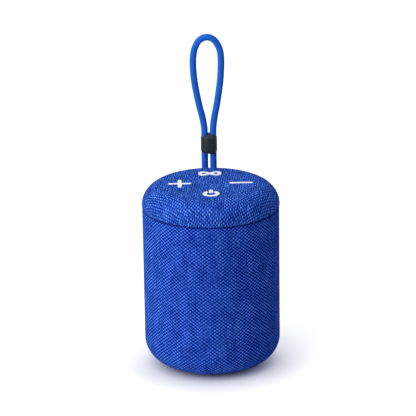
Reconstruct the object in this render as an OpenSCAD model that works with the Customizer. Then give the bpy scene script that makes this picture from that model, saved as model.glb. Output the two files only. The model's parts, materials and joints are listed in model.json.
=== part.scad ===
// Cloth-covered portable speaker with a wrist lanyard.
// Millimetres. Origin at the middle of the foot on the table, +Z up, front towards -Y.
// A moulded housing tube joins a crown frame and a base cap. The driver fires up at a
// deflector, the passive radiator fires down, and both sound through the perforated wall.

/* [Body] */
// Diameter over the cloth
body_d = 85; // [78:0.5:96]
// Height from the table to the flat of the crown
body_h = 115.5; // [106:0.5:140]
// Radius of the rounded crown edge
crown_r = 13; // [10:0.5:15]
// Radius of the rounded base edge
base_r = 14.5; // [12:0.5:16]
// Depth of the crown cap, from its flat down to the seam
seam_drop = 14.2; // [14:0.1:16]
// Width of the seam between the two cloths
seam_gap = 0.4; // [0.2:0.1:0.8]
// Thickness of the woven cloth
cloth_t = 0.9; // [0.6:0.1:1.2]
// Wall of the moulded crown frame, housing and base cap
shell_t = 2.2; // [1.8:0.1:2.6]
// Height by which the frame and the cap plug into the housing
spigot_h = 5; // [4:0.5:6]
// Wall of those plugs
spigot_t = 1.8; // [1.4:0.1:2.2]

/* [Foot] */
// Width of the rubber foot ring
foot_w = 6; // [5.4:0.1:6.2]
// Height of the ring
foot_t = 2.5; // [2.2:0.1:2.8]
// Height of the cloth's underside above the table
foot_drop = 1; // [0.6:0.1:1.4]

/* [Keys] */
// Radius of the circle that the four keys stand on
key_ring_r = 19; // [18.5:0.1:20]
// Diameter of a key
key_d = 18; // [17:0.5:19]
// Height by which a key stands proud of the crown
key_raise = 0.35; // [0.3:0.05:0.5]
// Travel of a key
key_travel = 0.3; // [0.2:0.05:0.3]
// Running gap round a key
key_gap = 0.3; // [0.2:0.05:0.4]
// Width of the key signs
sign_w = 14.6; // [13:0.1:16]
// Width of the strokes of the signs
sign_stroke = 2.3; // [1.6:0.1:2.4]
// Outer diameter of the ring in the power sign
power_d = 10.3; // [9:0.1:11]
// Height of the link sign
link_h = 8; // [7:0.1:9]
// Thickness of the printed signs
sign_t = 0.12; // [0.08:0.02:0.2]
// Height of a tact switch's case
switch_h = 3.4; // [3:0.1:4]
// Width of a tact switch's case
switch_w = 6; // [5:0.1:7]
// Diameter of a tact switch's button
button_d = 3.5; // [3:0.1:4]

/* [Sound] */
// Diameter of the holes in the grille
grille_d = 3.4; // [2.6:0.1:3.6]
// Holes in one row of the grille
grille_count = 36; // [24:2:40]
// Pitch of the rows
grille_pitch = 4.4; // [4:0.1:4.8]
// Height of the space over the driver shelf, up to the seam
upper_space = 20.8; // [20.8:0.1:22]
// Height of the sealed chamber between the two shelves
chamber_h = 42.5; // [42:0.5:46]
// Thickness of the two shelves
shelf_t = 2.5; // [2:0.1:3]
// Outer diameter of the driver's frame
driver_d = 57; // [56:0.5:60]
// Depth of the driver behind its flange
driver_depth = 23; // [22.5:0.1:23.5]
// Width of the driver's flange and surround, round its cone
driver_rim = 8.6; // [8.4:0.1:9.2]
// Diameter of the driver's magnet
magnet_d = 32; // [28:0.5:34]
// Thickness of the magnet
magnet_t = 8; // [6:0.5:9]
// Diameter of the voice coil
coil_d = 13.5; // [12:0.1:14]
// Outer diameter of the radiator's frame
radiator_d = 43; // [40:0.5:46]
// Width of the radiator's frame and surround, round its plate
radiator_rim = 6.6; // [6.4:0.1:7.2]
// Diameter of the weight on the radiator's plate
weight_d = 16; // [12:0.5:20]
// Height of the weight
weight_t = 1.8; // [1:0.1:2]
// Stroke of the cone and of the radiator's plate to each side
stroke = 2; // [1.5:0.1:2]

/* [Power and board] */
// Diameter of the battery cell
cell_d = 18.3; // [17.5:0.1:18.6]
// Length of the battery cell
cell_l = 50; // [34:0.5:52]
// Distance of the cell in front of the middle
cell_front = 6; // [4:0.5:7]
// Wall of the battery tray
tray_t = 1.5; // [1.2:0.1:2]
// Width of the main board
board_w = 40; // [36:0.5:44]
// Height of the main board
board_h = 37; // [34:0.5:38]
// Thickness of both circuit boards
board_t = 1.6; // [1:0.1:2]

/* [Ports] */
// Height of the ports above the chamber's floor
port_up = 20; // [16:0.5:24]
// Depth of the port recess at its middle
port_depth = 5.4; // [5:0.1:6]
// Width of the port cover
port_w = 29.4; // [28:0.2:31]
// Height of the port cover
port_h = 10.4; // [9.6:0.2:12]
// Thickness of the port cover
cover_t = 1.8; // [1.4:0.1:2.2]
// Rim of the port bezel round the cover
bezel_rim = 1.5; // [1.2:0.1:2]
// Width of the charging socket
usb_w = 8.94; // [8.9:0.01:9]
// Height of the charging socket
usb_h = 3.26; // [3.2:0.01:3.3]
// Diameter of the audio plug that the jack takes
jack_d = 3.5; // [2.5:0.5:3.5]
// Distance of each port from the middle of the cover
port_apart = 7; // [6.5:0.1:7.5]

/* [Lanyard] */
// Diameter of the cord
cord_d = 4; // [3.6:0.1:4.2]
// Distance between the middles of the two strands
strand_apart = 5.4; // [5.2:0.1:5.6]
// Distance of the cord from the outer skin at the back
cord_in = 6; // [5.8:0.1:6.4]
// Width of the bead
bead_w = 10.2; // [10:0.1:11]
// Depth of the bead
bead_d = 8.6; // [8:0.1:9.4]
// Height of the bead
bead_h = 12.6; // [11:0.1:14]
// Height of the bead above the crown
bead_up = 8.5; // [7.2:0.1:9]

/* [Fits] */
// Gap between the cloth and what it lies on
lay = 0.05; // [0.02:0.01:0.1]
// Gap between parts that plug together
fit = 0.15; // [0.1:0.05:0.2]
// Gap round the port cover and the cord
loose = 0.3; // [0.2:0.05:0.35]
// Diameter of the screws' shanks
screw_d = 2.2; // [2:0.1:2.4]
// Diameter of the screws' heads
head_d = 4; // [3.6:0.1:4.2]
// Height of the screws' heads
head_t = 1.3; // [1:0.1:1.5]

/* [Hidden] */
$fn = 72;

eps = 0.01;
over = 1;                                   // how far a cut runs past a face
body_r = body_d / 2;
skin_in = cloth_t + lay;                    // depth of the mouldings below the outer skin
shell_r = body_r - skin_in;                 // outer radius of the housing
room_r = shell_r - shell_t;                 // inner radius of the housing
spigot_r = room_r - fit;
seam_z = body_h - seam_drop;
joint_z = foot_drop + base_r;               // where the base cap meets the housing

// Levels of the two shelves and of the crown plate
shelf_hi = seam_z - upper_space;
shelf_lo = shelf_hi - shelf_t;
floor_hi = shelf_lo - chamber_h;
floor_lo = floor_hi - shelf_t;
plate_hi = body_h - skin_in;
plate_lo = plate_hi - shell_t;

// Keys, from the crown plate down to the key board
key_rest = 0.1;                             // gap over the key's flange at rest
flange_t = 1.2;
flange_w = 1.5;                             // how far the flange reaches past the key
stem_h = 1.2;
stem_d = 5;
button_h = 0.9;                             // how far the button stands out of its switch
button_in = 0.6;                            // how far the button reaches into its switch
key_bottom = plate_lo - key_rest - flange_t - stem_h;
switch_top = key_bottom - lay - button_h;
key_board_hi = switch_top - switch_h;
key_board_lo = key_board_hi - board_t;
cord_back = body_r - cord_in;
post_ring_r = cord_back - 7.5;              // circle of the crown posts
post_d = 6;
pilot_d = screw_d - 0.4;                    // screws cut their thread in this bore
slot_w = 0.5;                               // cross slot in the screws' heads
slot_t = 0.6;
shank_d = pilot_d - 0.1;
screw_bite = 4;                             // how far a screw runs into its boss
key_board_r = post_ring_r + post_d / 2 + 0.5;
KEYS = [["plus", 180], ["minus", 0], ["link", 90], ["power", 270]];
function key_turn(name) = [for (k = KEYS) if (k[0] == name) k[1]][0];

// Deflector
deflector_t = 2;
deflector_hi = seam_z - spigot_h / 4;
deflector_lo = deflector_hi - deflector_t;
deflector_r = spigot_r - spigot_t - loose;
cone_drop = 10;                             // how far the deflector's cone points down
cone_foot_r = 20;

// Driver
gasket_t = 0.5;
flange_lo = shelf_hi + gasket_t;
basket_t = 1.2;
flange_hi = flange_lo + basket_t;
driver_cut_r = driver_d / 2 - 4;            // opening in the driver shelf
yoke_t = 3;
yoke_lo = flange_lo - driver_depth;
magnet_lo = yoke_lo + yoke_t;
magnet_hi = magnet_lo + magnet_t;
coil_r = coil_d / 2;
coil_t = 0.4;
air_gap = 0.4;
pole_r = coil_r - coil_t - air_gap;
basket_bore_r = coil_r + 2 * air_gap;
cone_r = driver_d / 2 - driver_rim;
cone_lo = magnet_hi + basket_t + stroke + 1;
cone_t = 0.6;
edge_gap = 0.1;                             // between a moving plate and its surround
roll_r = 1.6;                               // half roll of the driver's surround
roll_t = 0.4;
driver_screw_r = driver_d / 2 - head_d / 2 - edge_gap;

// Passive radiator
radiator_hi = floor_lo - gasket_t;
radiator_t = 1.5;
radiator_lo = radiator_hi - radiator_t;
plate_r = radiator_d / 2 - radiator_rim;
radiator_roll_r = 1.2;
radiator_in_r = plate_r + edge_gap + 2 * radiator_roll_r;
radiator_screw_r = (radiator_in_r + radiator_d / 2) / 2;
floor_cut_r = radiator_in_r + 0.3;

// Battery and main board
tray_lo = floor_hi + 1;
cell_z = tray_lo + tray_t + cell_d / 2;
cell_gap = 0.1;
tray_l = cell_l + 2 * cell_gap + 2 * tray_t;
bezel_floor = body_r - port_depth;          // outer face of the bezel's floor
socket_l = 7.35;
mouth_y = bezel_floor - fit;                // where both sockets open
board_back = mouth_y - socket_l;            // back face of the main board
board_front = board_back - board_t;
board_lo = floor_hi + 2;
board_screw_x = board_w / 2 - 4;
board_screw_z = [board_lo + 3.5, board_lo + board_h - 3.5];
board_boss_d = 5;
board_boss_end = sqrt(room_r * room_r - board_screw_x * board_screw_x) + shell_t / 2;

// Ports
port_z = floor_hi + port_up;
bezel_t = 1.5;
bezel_w = port_w + 2 * (loose + bezel_rim);
bezel_h = port_h + 2 * (loose + bezel_rim);
usb_wall = 0.35;
usb_depth = 6.2;
jack_case_d = 6.4;
hinge_x = -port_w / 2;
hinge_y = sqrt(body_r * body_r - hinge_x * hinge_x);

// Rows of holes in the two sound windows, as many as fit between the shelves and the plugs
grille_edge = grille_d / 2 + 1.3;
function rows(lo, hi) = let (n = floor((hi - lo - 2 * grille_edge) / grille_pitch))
    [for (i = [0 : n]) (lo + hi - n * grille_pitch) / 2 + i * grille_pitch];
upper_rows = rows(shelf_hi, seam_z - spigot_h);
lower_rows = rows(joint_z + spigot_h, floor_lo);

// Base
base_lo = foot_drop + skin_in;              // underside of the base cap
base_hi = base_lo + shell_t;
base_boss_d = 5.6;
base_screw_r = radiator_d / 2 + loose + base_boss_d / 2;
foot_in_r = base_screw_r - foot_w / 2;
foot_out_r = base_screw_r + foot_w / 2;
hem_r = foot_out_r + loose;                 // where the cloth ends under the base
head_seat = base_lo + 2 * head_t;           // where the base screws' heads bear
cap_boss_h = head_seat - base_lo + 2;
base_boss_lo = base_lo + cap_boss_h + lay;
CORNERS = [45, 135, 225, 315];

// Lanyard: its route, seen from the front, as steps right of the middle and above the crown
strand_x = strand_apart / 2;
ROUTE = [
    [-strand_x, -12.5], [-strand_x, -6], [-strand_x, 2], [-strand_x, 10], [-strand_x, 18], [-strand_x, 22],
    [-2.9, 26], [-3.9, 32], [-5.6, 39], [-7.2, 47], [-8.5, 55], [-9.2, 63], [-9.2, 70], [-8.3, 76],
    [-5.9, 81], [-3.1, 83.2], [-0.5, 83.8], [2.1, 83.2], [4.9, 81], [7.4, 76], [8.2, 70], [8.1, 63],
    [7.5, 55], [6.4, 47], [5.1, 39], [3.7, 32], [2.9, 26], [strand_x, 22], [strand_x, 18],
    [strand_x, 10], [strand_x, 2], [strand_x, -6], [strand_x, -12.5]];
CORD_SIDES = 10;
cord_bore = cord_d + loose;
crimp_bore = cord_d + 2 * lay;
crimp_t = 0.6;                              // wall of the crimp
crimp_h = 3.6;
crimp_lo = seam_z + 1;
boss_lo = crimp_lo + crimp_h + fit;
bead_lo = body_h + bead_up;

// ---------------------------------------------------------------- shared forms

// Half outline of the whole body, inset by a depth below the outer skin
module skin(depth) {
    r = body_r - depth;
    lo = foot_drop + depth;
    hi = body_h - depth;
    rb = base_r - depth;
    rt = crown_r - depth;
    translate([0, lo + rb]) square([r, hi - rt - lo - rb]);
    translate([0, lo]) square([r - rb, rb + eps]);
    translate([0, hi - rt - eps]) square([r - rt, rt + eps]);
    translate([r - rb, lo + rb]) circle(rb);
    translate([r - rt, hi - rt]) circle(rt);
}

// Revolved wall between two depths below the skin, from one level up to another
module wall(outer, inner, lo, hi) {
    rotate_extrude() intersection() {
        difference() {
            skin(outer);
            skin(inner);
        }
        translate([0, lo]) square([body_r + over, hi - lo]);
    }
}

module tube(outer_r, inner_r, lo, hi) {
    translate([0, 0, lo]) difference() {
        cylinder(r = outer_r, h = hi - lo);
        translate([0, 0, -over]) cylinder(r = inner_r, h = hi - lo + 2 * over);
    }
}

// Flat oblong with round ends, centred
module oblong(w, h) {
    square([w - h, h], center = true);
    for (side = [-1, 1]) translate([side * (w - h) / 2, 0]) circle(d = h);
}

// Stands a flat shape up and runs it backwards, from y = front to y = back
module face_back(front, back) {
    translate([0, back, 0]) rotate([90, 0, 0]) linear_extrude(back - front) children();
}

module at_corners(r) {
    for (a = CORNERS) rotate([0, 0, a]) translate([r, 0, 0]) children();
}

module at_key(name) {
    rotate([0, 0, key_turn(name)]) translate([key_ring_r, 0, 0]) rotate([0, 0, -key_turn(name)]) children();
}

module at_all_keys() {
    for (k = KEYS) at_key(k[0]) children();
}

module at_strands() {
    for (side = [-1, 1]) translate([side * strand_x, cord_back, 0]) children();
}

// Round-headed screw with its head's seat at the origin and its shank upwards
module screw(length) {
    cylinder(d = shank_d, h = length, $fn = 24);
    translate([0, 0, -head_t]) difference() {
        cylinder(d = head_d, h = head_t, $fn = 32);
        for (a = [0, 90]) rotate([0, 0, a]) translate([-head_d / 3, -slot_w / 2, -eps])
            cube([head_d / 1.5, slot_w, slot_t]);
    }
}

// ---------------------------------------------------------------- cloth

module side_cloth() color("royalblue") difference() {
    wall(0, cloth_t, foot_drop, seam_z - seam_gap / 2);
    translate([0, 0, foot_drop - over]) cylinder(r = hem_r, h = cloth_t + 2 * over);
    translate([0, 0, port_z]) face_back(0, body_r + over) oblong(bezel_w + 2 * fit, bezel_h + 2 * fit);
}

module crown_cloth() color("royalblue") difference() {
    wall(0, cloth_t, seam_z + seam_gap / 2, body_h + over);
    at_all_keys() translate([0, 0, body_h - 2 * cloth_t]) cylinder(d = key_d + 2 * key_gap, h = 3 * cloth_t);
    at_strands() translate([0, 0, seam_z]) cylinder(d = cord_bore, h = seam_drop + over, $fn = 32);
}

// A key's own patch of cloth, crowned a little above the cap round it
module key_cloth(name) color("royalblue") at_key(name) translate([0, 0, body_h - cloth_t]) {
    edge = 1.5;
    cylinder(d = key_d, h = cloth_t);
    translate([0, 0, cloth_t]) cylinder(d1 = key_d, d2 = key_d - 2 * edge, h = key_raise);
}

// ---------------------------------------------------------------- key signs

module plus_sign() {
    oblong(sign_w, sign_stroke);
    rotate(90) oblong(sign_w, sign_stroke);
}

module minus_sign() {
    oblong(sign_w, sign_stroke);
}

// Figure of eight on its side: two looped strokes that cross in the middle
module link_sign() {
    reach = (sign_w - sign_stroke) / 2;
    rise = (link_h - sign_stroke) / 2;
    loop = [for (t = [-90 : 10 : 90]) [reach * cos(t), rise * sin(2 * t)]];
    offset(delta = eps, $fn = 24) for (side = [0, 180]) rotate(side) difference() {
        offset(r = sign_stroke / 2) polygon(loop);
        offset(delta = -sign_stroke / 2) polygon(loop);
    }
}

// A ring open at the back, with an upright bar in its gap
module power_sign() {
    ring_r = (power_d - sign_stroke) / 2;
    open_a = 42;
    difference() {
        circle(ring_r + sign_stroke / 2);
        circle(ring_r - sign_stroke / 2);
        polygon([[0, 0], power_d * [sin(open_a), cos(open_a)], power_d * [-sin(open_a), cos(open_a)]]);
    }
    for (side = [-1, 1]) translate(ring_r * [side * sin(open_a), cos(open_a)]) circle(d = sign_stroke);
    bar_top = power_d / 2 + sign_stroke;
    translate([0, bar_top - power_d / 4 - sign_stroke / 4]) rotate(90)
        oblong(power_d / 2 + sign_stroke / 2, sign_stroke);
}

module sign(name) color("white") at_key(name) translate([0, 0, body_h + key_raise]) linear_extrude(sign_t) {
    if (name == "plus") plus_sign();
    if (name == "minus") minus_sign();
    if (name == "link") link_sign();
    if (name == "power") translate([0, -sign_stroke / 2]) power_sign();
}

// ---------------------------------------------------------------- crown

// Plug of the crown frame: a thin ring that runs down into the housing
module crown_plug() {
    root = 2;
    tube(spigot_r, spigot_r - spigot_t, seam_z - spigot_h, seam_z + root);
    tube(room_r + shell_t / 2, spigot_r - spigot_t, seam_z, seam_z + root);
}

// Outline of the crimp on the two strands, seen from above
module crimp_outline(grow) {
    oblong(strand_apart + crimp_bore + 2 * crimp_t + 2 * grow, crimp_bore + 2 * crimp_t + 2 * grow);
}

// Four catches round the plug; the housing's pockets are the same form, a little larger
module catches(grow) {
    reach = 0.9;
    span = 18;
    mid = seam_z - spigot_h / 2;
    for (a = CORNERS) rotate([0, 0, a - span / 2 - grow]) rotate_extrude(angle = span + 2 * grow) polygon([
        [spigot_r - spigot_t / 2, mid - reach - grow], [spigot_r - spigot_t / 2, mid + reach + grow],
        [spigot_r + reach + grow, mid + grow], [spigot_r + reach + grow, mid - reach / 2 - grow]]);
}

module crown_post(hi) {
    translate([0, 0, key_board_hi]) cylinder(d = post_d, h = hi - key_board_hi);
}

module crown_frame() color("dimgray") difference() {
    cord_block_w = strand_apart + cord_d + 2 * spigot_t;
    cord_block_d = cord_d + 2 * spigot_t;
    union() {
        wall(skin_in, skin_in + shell_t, seam_z, body_h);
        crown_plug();
        catches(0);
        at_corners(post_ring_r) crown_post(plate_lo + eps);
        // ribs from the posts to the skirt
        intersection() {
            at_corners(post_ring_r) translate([post_d / 2 - 1, -shell_t / 4, key_board_hi + 1])
                cube([body_r - post_ring_r, shell_t / 2, plate_lo - key_board_hi]);
            rotate_extrude() skin(skin_in + shell_t / 2);
        }
        // block that the two strands of the lanyard run down through
        intersection() {
            translate([-cord_block_w / 2, cord_back - cord_block_d / 2, boss_lo])
                cube([cord_block_w, cord_block_d, body_h - boss_lo]);
            rotate_extrude() skin(skin_in + shell_t / 2);
        }
    }
    at_all_keys() translate([0, 0, plate_lo - over])
        cylinder(d = key_d + 2 * key_gap, h = shell_t + 2 * over);
    at_corners(post_ring_r) translate([0, 0, key_board_hi - over])
        cylinder(d = pilot_d, h = over + screw_bite + loose, $fn = 24);
    at_strands() translate([0, 0, seam_z]) cylinder(d = cord_bore, h = seam_drop + over, $fn = 32);
    // the crimp slides up to the block from below
    translate([0, cord_back, seam_z - spigot_h - over]) linear_extrude(boss_lo - seam_z + spigot_h + over)
        crimp_outline(fit);
}

// Key cap: a disc in the crown plate, a flange under the plate and a stem on the switch
module key_cap(name) color("gray") at_key(name) {
    flange_z = plate_lo - key_rest - flange_t;
    pocket = 2;
    difference() {
        union() {
            translate([0, 0, flange_z]) cylinder(d = key_d, h = plate_hi - flange_z);
            translate([0, 0, flange_z]) cylinder(d = key_d + 2 * flange_w, h = flange_t);
        }
        translate([0, 0, flange_z - eps]) difference() {
            cylinder(d = key_d - 2 * flange_w, h = pocket);
            cylinder(d = stem_d + 2, h = pocket);
        }
    }
    translate([0, 0, key_bottom]) cylinder(d = stem_d, h = stem_h + eps);
}

module switch_button(name) color("black") at_key(name) translate([0, 0, switch_top - button_in])
    cylinder(d = button_d, h = button_in + button_h);

module tact_switches() color("silver") at_all_keys() translate([0, 0, key_board_hi]) difference() {
    translate([-switch_w / 2, -switch_w / 2, 0]) cube([switch_w, switch_w, switch_h]);
    translate([0, 0, switch_h - button_in - key_travel - lay])
        cylinder(d = button_d + 2 * edge_gap, h = switch_h);
}

module key_board() color("darkgreen") difference() {
    cable_w = 12;
    union() {
        translate([0, 0, key_board_lo]) cylinder(r = key_board_r, h = board_t);
        // flat plug for the ribbon to the main board
        translate([-cable_w / 2, key_board_r - 9, key_board_lo - 2]) cube([cable_w, 4, 2 + eps]);
    }
    at_corners(post_ring_r) translate([0, 0, key_board_lo - over])
        cylinder(d = screw_d, h = board_t + 2 * over);
}

// Deflector: a plate across the crown, with a cone that spreads the sound sideways
module deflector() color("dimgray") difference() {
    tip_r = 2;
    ribbon_w = 14;                          // slot for the ribbon between the two boards
    ribbon_slot = 3;
    union() {
        translate([0, 0, deflector_lo]) cylinder(r = deflector_r, h = deflector_t);
        translate([0, 0, deflector_lo - cone_drop])
            cylinder(r1 = tip_r, r2 = cone_foot_r, h = cone_drop + eps);
        at_corners(post_ring_r) translate([0, 0, deflector_hi - eps])
            cylinder(d = post_d, h = key_board_lo - deflector_hi + eps);
    }
    // the cone is hollow from above
    translate([0, 0, deflector_lo - cone_drop + 2 * deflector_t])
        cylinder(r1 = eps, r2 = cone_foot_r - deflector_t, h = cone_drop - deflector_t + over);
    translate([-ribbon_w / 2, cone_foot_r + ribbon_slot, deflector_lo - over])
        cube([ribbon_w, ribbon_slot, deflector_t + 2 * over]);
    at_corners(post_ring_r) translate([0, 0, deflector_lo - over])
        cylinder(d = screw_d, h = body_h, $fn = 24);
}

module crown_screws() color("silver") at_corners(post_ring_r) translate([0, 0, deflector_lo])
    screw(key_board_hi - deflector_lo + screw_bite);

// ---------------------------------------------------------------- housing

module grille_row(z, turn) {
    for (i = [0 : grille_count - 1]) rotate([0, 0, (i + turn) * 360 / grille_count])
        translate([room_r - over, 0, z]) rotate([0, 90, 0])
            cylinder(d = grille_d, h = shell_t + 2 * over, $fn = 20);
}

module housing() color("dimgray") difference() {
    union() {
        tube(shell_r, room_r, joint_z, seam_z);
        tube(room_r + eps, driver_cut_r, shelf_lo, shelf_hi);
        tube(room_r + eps, floor_cut_r, floor_lo, floor_hi);
        at_corners(base_screw_r) translate([0, 0, base_boss_lo])
            cylinder(d = base_boss_d, h = floor_lo - base_boss_lo + eps);
        for (side = [-1, 1], z = board_screw_z) translate([side * board_screw_x, board_boss_end, z])
            rotate([90, 0, 0])
            cylinder(d = board_boss_d, h = board_boss_end - board_back - lay);
    }
    for (i = [0 : len(upper_rows) - 1]) grille_row(upper_rows[i], i / 2);
    for (i = [0 : len(lower_rows) - 1]) grille_row(lower_rows[i], i / 2);
    catches(fit);
    translate([0, 0, port_z]) face_back(room_r / 2, body_r) oblong(bezel_w + 2 * fit, bezel_h + 2 * fit);
    at_corners(base_screw_r) translate([0, 0, base_boss_lo - over])
        cylinder(d = pilot_d, h = over + 2 * screw_bite + loose, $fn = 24);
    for (side = [-1, 1], z = board_screw_z) translate([side * board_screw_x, board_back + screw_bite, z])
        rotate([90, 0, 0])
        cylinder(d = pilot_d, h = screw_bite + over, $fn = 24);
    at_corners(driver_screw_r) translate([0, 0, shelf_lo - over])
        cylinder(d = pilot_d, h = shelf_t + 2 * over, $fn = 24);
    rotate([0, 0, 45]) at_corners(radiator_screw_r) translate([0, 0, floor_lo - over])
        cylinder(d = pilot_d, h = shelf_t + 2 * over, $fn = 24);
}

// ---------------------------------------------------------------- driver

module driver_gasket() color("black") difference() {
    tube(driver_d / 2, driver_cut_r, shelf_hi, flange_lo);
    at_corners(driver_screw_r) translate([0, 0, shelf_hi - over])
        cylinder(d = screw_d, h = gasket_t + 2 * over);
}

// Pressed basket: flange, sloping side with windows, and the front plate over the magnet
module driver_basket() color("silver") difference() {
    throat_r = magnet_d / 2 + basket_t;
    neck_r = driver_cut_r - 0.4;
    window_w = 12;                          // six windows round the side
    rotate_extrude() polygon([
        [driver_d / 2, flange_hi], [driver_d / 2, flange_lo], [neck_r, flange_lo], [throat_r, magnet_hi],
        [basket_bore_r, magnet_hi], [basket_bore_r, magnet_hi + basket_t],
        [throat_r - basket_t, magnet_hi + basket_t],
        [neck_r - basket_t, flange_lo + eps], [neck_r - basket_t, flange_hi]]);
    for (a = [0 : 60 : 300])
        rotate([0, 0, a]) translate([throat_r - 2, -window_w / 2, magnet_hi + 2 * basket_t])
        cube([driver_d, window_w, flange_lo - magnet_hi - 3.5 * basket_t]);
    at_corners(driver_screw_r) translate([0, 0, flange_lo - over])
        cylinder(d = screw_d, h = basket_t + 2 * over);
}

module driver_magnet() color("darkgray") tube(magnet_d / 2, pole_r + 3, magnet_lo, magnet_hi);

module driver_yoke() color("silver") {
    translate([0, 0, yoke_lo]) cylinder(d = magnet_d - 1, h = yoke_t);
    translate([0, 0, magnet_lo - eps]) cylinder(r = pole_r, h = magnet_t + basket_t);
}

module voice_coil() color("darkorange")
    tube(coil_r, coil_r - coil_t, magnet_lo + stroke + 0.5, cone_lo + cone_t);

module driver_cone() color("dimgray") rotate_extrude() polygon([
    [coil_r + eps, cone_lo], [coil_r + eps, cone_lo + cone_t], [cone_r - 1, flange_hi], [cone_r, flange_hi],
    [cone_r, flange_hi - cone_t], [cone_r - 0.6, flange_hi - cone_t]]);

module dust_cap() color("dimgray") {
    dome_r = 13;
    base_r1 = coil_r + 1.6;
    drop = sqrt(dome_r * dome_r - base_r1 * base_r1);
    lift = cone_lo + cone_t + 1.6;
    translate([0, 0, lift - drop]) intersection() {
        difference() {
            sphere(r = dome_r);
            sphere(r = dome_r - cone_t);
        }
        translate([0, 0, drop - eps]) cylinder(r = base_r1, h = dome_r);
    }
}

// Half-roll surround: a rubber roll between the cone's edge and the flange
module half_roll(mid_r, r, t, z, lip) {
    rotate_extrude() {
        intersection() {
            translate([mid_r, z]) difference() {
                circle(r, $fn = 32);
                circle(r - t, $fn = 32);
            }
            translate([mid_r - r, z]) square([2 * r, r]);
        }
        translate([mid_r + r - t, z]) square([lip, t]);
    }
}

module driver_surround() color("black")
    half_roll(cone_r + edge_gap + roll_r, roll_r, roll_t, flange_hi,
        driver_screw_r - head_d / 2 - cone_r - 2 * roll_r - loose);

module driver_screws() color("silver") at_corners(driver_screw_r) translate([0, 0, flange_hi])
    rotate([180, 0, 0])
    screw(flange_hi - shelf_lo);

// ---------------------------------------------------------------- passive radiator

module radiator_gasket() color("black") difference() {
    tube(radiator_d / 2, floor_cut_r, radiator_hi, floor_lo);
    rotate([0, 0, 45]) at_corners(radiator_screw_r) translate([0, 0, radiator_hi - over])
        cylinder(d = screw_d, h = gasket_t + 2 * over);
}

module radiator_frame() color("dimgray") difference() {
    tube(radiator_d / 2, radiator_in_r - radiator_roll_r / 2, radiator_lo, radiator_hi);
    tube(radiator_in_r + roll_t, 1, radiator_lo + radiator_t / 2, radiator_hi + over);
    rotate([0, 0, 45]) at_corners(radiator_screw_r) translate([0, 0, radiator_lo - over])
        cylinder(d = screw_d, h = radiator_t + 2 * over);
}

module radiator_surround() color("black")
    half_roll(plate_r + edge_gap + radiator_roll_r, radiator_roll_r, roll_t,
    radiator_lo + radiator_t / 2, roll_t + 0.2);

module radiator_plate() color("gray") {
    rim_t = 1;
    difference() {
        translate([0, 0, radiator_lo]) cylinder(r = plate_r, h = radiator_t);
        tube(plate_r - rim_t, weight_d / 2 + rim_t, radiator_lo - over, radiator_lo + radiator_t / 2);
    }
}

module radiator_weight() color("silver") translate([0, 0, radiator_hi]) cylinder(d = weight_d, h = weight_t);

module radiator_screws() color("silver") rotate([0, 0, 45]) at_corners(radiator_screw_r)
    translate([0, 0, radiator_lo]) screw(floor_hi - radiator_lo - 0.5);

// ---------------------------------------------------------------- battery and boards

module battery_cell() color("mediumseagreen") translate([-cell_l / 2, -cell_front, cell_z])
    rotate([0, 90, 0]) {
    cap_t = 1.2;
    cylinder(d = cell_d, h = cell_l - cap_t);
    cylinder(d = cell_d / 3, h = cell_l);
}

// Tray that cradles the cell across the chamber and stands on the radiator shelf
module battery_tray() color("dimgray") {
    tray_w = cell_d + 2 * tray_t;
    foot_l = 5;
    difference() {
        translate([-tray_l / 2, -cell_front - tray_w / 2, tray_lo]) cube([tray_l, tray_w, cell_z - tray_lo]);
        translate([-cell_l / 2 - cell_gap, -cell_front, cell_z]) rotate([0, 90, 0])
            cylinder(r = cell_d / 2 + cell_gap, h = cell_l + 2 * cell_gap);
        // open bays between the ribs
        for (x = [-1, 0, 1]) translate([x * cell_l / 3.4 - cell_l / 9, -cell_front - tray_w, tray_lo + tray_t])
            cube([cell_l / 4.5, 2 * tray_w, cell_d]);
    }
    for (side = [-1, 1])
        translate([side * (tray_l / 2 - foot_l / 2) - foot_l / 2, -cell_front - tray_w / 4, floor_hi])
        cube([foot_l, tray_w / 2, tray_lo - floor_hi + eps]);
}

module main_board() color("darkgreen") difference() {
    chip = 9;
    chip_t = 1;
    union() {
        translate([-board_w / 2, board_front, board_lo]) cube([board_w, board_t, board_h]);
        // amplifier, radio and charger chips, and the coil of the charger
        translate([-chip, board_front - chip_t, board_lo + board_h - chip - 4])
            cube([chip, chip_t + eps, chip]);
        translate([3, board_front - chip_t, board_lo + board_h - chip])
            cube([chip * 0.7, chip_t + eps, chip * 0.7]);
        translate([-5, board_front - 2 * chip_t, board_lo + 5])
            cube([chip * 0.8, 2 * chip_t + eps, chip * 0.8]);
    }
    for (side = [-1, 1], z = board_screw_z) translate([side * board_screw_x, board_back + over, z])
        rotate([90, 0, 0])
        cylinder(d = screw_d, h = board_t + 2 * over, $fn = 24);
}

module board_screws() color("silver") for (side = [-1, 1], z = board_screw_z)
    translate([side * board_screw_x, board_front, z]) rotate([-90, 0, 0]) screw(board_t + screw_bite - loose);

module usb_socket() color("silver") translate([-port_apart, 0, port_z]) {
    tongue_w = usb_w - 2.2;
    tongue_t = 0.7;
    difference() {
        face_back(board_back, mouth_y) oblong(usb_w, usb_h);
        face_back(mouth_y - usb_depth, mouth_y + over) oblong(usb_w - 2 * usb_wall, usb_h - 2 * usb_wall);
    }
    face_back(mouth_y - usb_depth - eps, mouth_y - 1) square([tongue_w, tongue_t], center = true);
}

module aux_jack() color("black") translate([port_apart, 0, port_z]) difference() {
    case_h = 6;
    union() {
        face_back(board_back, mouth_y - 2) square([case_h, case_h], center = true);
        face_back(board_back, mouth_y) circle(d = jack_case_d);
    }
    face_back(mouth_y - usb_depth, mouth_y + over) circle(d = jack_d + edge_gap);
}

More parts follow.
